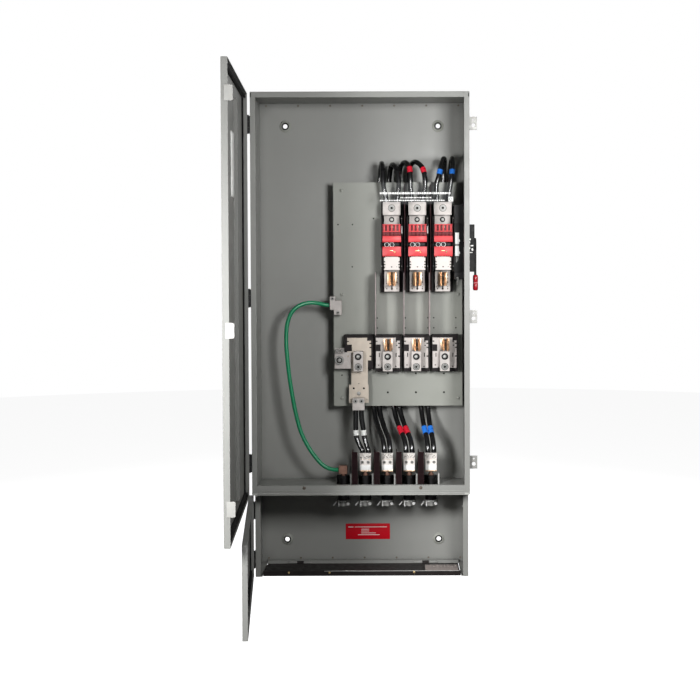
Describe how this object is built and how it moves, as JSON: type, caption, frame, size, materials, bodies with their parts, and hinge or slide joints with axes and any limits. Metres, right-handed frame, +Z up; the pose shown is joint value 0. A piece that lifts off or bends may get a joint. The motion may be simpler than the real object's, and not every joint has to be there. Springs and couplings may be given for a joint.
{
  "type": "fused disconnect switch",
  "caption": "Wall-mounted fused disconnect switch: steel enclosure with hinged doors, visible-blade switch and fuse gaps, side handle, and a lower bay with quick-connect sockets.",
  "frame": {"origin": "middle of the rectangle of the four wall holes, on the outer face of the back panel", "axes": "+X to the right seen from the front, +Y into the wall, +Z up"},
  "size_m": [0.6752, 0.8823, 1.398],
  "materials": {
    "grey_paint": "satin baked enamel",
    "zinc_steel": "zinc plated",
    "tinned_metal": "tin plated, bright",
    "black_moulding": "matte",
    "black_steel": "black oxide",
    "copper": "bare, slightly tarnished",
    "dark_red_moulding": "satin",
    "red_moulding": "satin",
    "cream_moulding": "satin",
    "brown_fibre": "matte vulcanised fibre",
    "clear_fibre": "translucent",
    "clear_plastic": "clear polycarbonate",
    "green_jacket": "satin",
    "black_jacket": "satin",
    "red_tape": "glossy vinyl",
    "blue_tape": "glossy vinyl",
    "white_tape": "glossy vinyl",
    "red_label": "printed film",
    "red_grip": "dipped vinyl",
    "gasket_rubber": "matte",
    "paper_label": "printed film",
    "dark_steel": "dark bronze"
  },
  "bodies": {
    "enclosure": {"back_panel": "grey_paint", "left_wall": "grey_paint", "right_wall": "grey_paint", "top_panel": "grey_paint", "divider_shelf": "grey_paint", "bottom_frame": "grey_paint", "hasp_tabs": "zinc_steel", "wall_hinge_leaves": "black_steel", "mounting_pan": "grey_paint", "pan_standoffs": "zinc_steel", "panel_screws": "zinc_steel", "pole_bases": "black_moulding", "line_contacts": "tinned_metal", "cable_lugs": "tinned_metal", "lug_screws": "zinc_steel", "terminal_bolts": "zinc_steel", "arc_chutes": "dark_red_moulding", "chute_covers": "red_moulding", "load_blocks": "cream_moulding", "load_contacts": "tinned_metal", "fuse_clips": "copper", "pole_barriers": "brown_fibre", "fuse_barriers": "clear_fibre", "line_shield": "clear_plastic", "insulator_bases": "black_moulding", "load_plates": "tinned_metal", "neutral_bar": "tinned_metal", "neutral_lug": "tinned_metal", "bonding_strap": "tinned_metal", "ground_lug": "tinned_metal", "ground_wire": "green_jacket", "receptacles": "black_moulding", "receptacle_studs": "copper", "receptacle_lugs": "tinned_metal", "receptacle_barriers": "brown_fibre", "barrier_posts": "zinc_steel", "receptacle_rings": "tinned_metal", "line_cables": "black_jacket", "neutral_cables": "black_jacket", "red_tapes": "red_tape", "blue_tapes": "blue_tape", "white_tapes": "white_tape", "label_plate": "red_label", "mechanism_frame": "black_steel", "handle_plate": "black_steel", "flap_hinge_pin": "zinc_steel"},
    "handle": {"handle_lever": "black_steel", "handle_grip": "red_grip"},
    "blade_shaft": {"cross_shaft": "black_moulding", "moving_blades": "copper"},
    "upper_door": {"upper_door_pan": "grey_paint", "upper_door_gasket": "gasket_rubber", "door_stiffener": "grey_paint", "door_hasps": "zinc_steel", "document_pocket": "paper_label", "upper_door_hinges": "black_steel"},
    "lower_door": {"lower_door_pan": "grey_paint", "lower_door_gasket": "gasket_rubber", "lower_door_hinges": "black_steel"},
    "bottom_flap": {"cable_flap": "dark_steel"}
  },
  "joints": [
    {"name": "upper_door_hinge", "type": "hinge", "parent": "enclosure", "child": "upper_door", "pos_m": [-0.3155, -0.254, 0.123], "axis": [0, 0, 1], "range_deg": [-32.5, 87.5]},
    {"name": "lower_door_hinge", "type": "hinge", "parent": "enclosure", "child": "lower_door", "pos_m": [-0.3155, -0.178, -0.573], "axis": [0, 0, 1], "range_deg": [-35, 85]},
    {"name": "handle_turn", "type": "hinge", "parent": "enclosure", "child": "handle", "pos_m": [0.32, -0.122, 0.268], "axis": [-1, 0, 0], "range_deg": [0, 150]},
    {"name": "blade_turn", "type": "hinge", "parent": "enclosure", "child": "blade_shaft", "pos_m": [0.165, -0.122, 0.268], "axis": [-1, 0, 0], "range_deg": [0, 55.1]},
    {"name": "flap_hinge", "type": "hinge", "parent": "enclosure", "child": "bottom_flap", "pos_m": [0, -0.026, -0.694], "axis": [1, 0, 0], "range_deg": [0, 90]}
  ],
  "couplings": [
    {"joint": "blade_turn", "follows": "handle_turn", "ratio": 0.36667}
  ]
}
